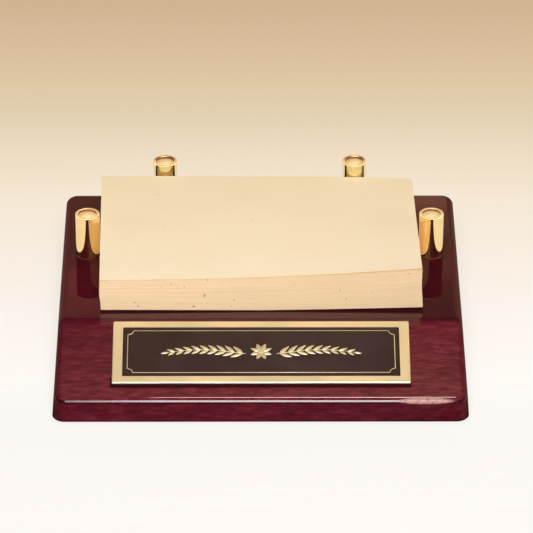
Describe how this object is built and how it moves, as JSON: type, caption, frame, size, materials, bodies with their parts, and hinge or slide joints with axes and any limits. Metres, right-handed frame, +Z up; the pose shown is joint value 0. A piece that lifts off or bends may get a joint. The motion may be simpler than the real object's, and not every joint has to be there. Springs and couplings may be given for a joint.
{
  "type": "memo sheet holder",
  "caption": "Desk holder for loose memo sheets: lacquered wooden block with a flat deck and sloping front, brass fence posts and a brass plate.",
  "frame": {"origin": "on the desk surface, under the middle of the block's footprint", "axes": "+Z up, -Y towards the user and the sloping front, +X to the user's right"},
  "size_m": [0.1942, 0.1778, 0.0477],
  "materials": {
    "lacquered_wood": "red-brown stained wood under thick clear gloss lacquer",
    "polished_brass": "polished and clear lacquered",
    "gilt_plate": "satin gilt brass sheet",
    "black_panel": "black-brown satin enamel on thin sheet",
    "memo_paper": "matt uncoated cream paper",
    "plated_steel": "zinc plated",
    "felt": "dark green pressed felt",
    "adhesive_film": "clear double-sided film"
  },
  "bodies": {
    "holder": {"base_block": "lacquered_wood", "base_felt": "felt", "left_post": "polished_brass", "right_post": "polished_brass", "rear_left_post": "polished_brass", "rear_right_post": "polished_brass", "left_post_screw": "plated_steel", "right_post_screw": "plated_steel", "rear_left_post_screw": "plated_steel", "rear_right_post_screw": "plated_steel", "left_post_washer": "plated_steel", "right_post_washer": "plated_steel", "rear_left_post_washer": "plated_steel", "rear_right_post_washer": "plated_steel", "plate_film": "adhesive_film", "name_plate": "gilt_plate", "plate_panel": "black_panel"},
    "memo_stack": {"memo_sheets_lower": "memo_paper", "memo_sheets_upper": "memo_paper"},
    "loose_sheet": {"top_sheet": "memo_paper"}
  },
  "joints": [
    {"name": "stack_lift", "type": "slide", "parent": "holder", "child": "memo_stack", "axis": [0, 0, 1], "range_m": [0, 0.03]},
    {"name": "top_sheet_lift", "type": "slide", "parent": "memo_stack", "child": "loose_sheet", "axis": [0, 0, 1], "range_m": [0, 0.025]}
  ]
}
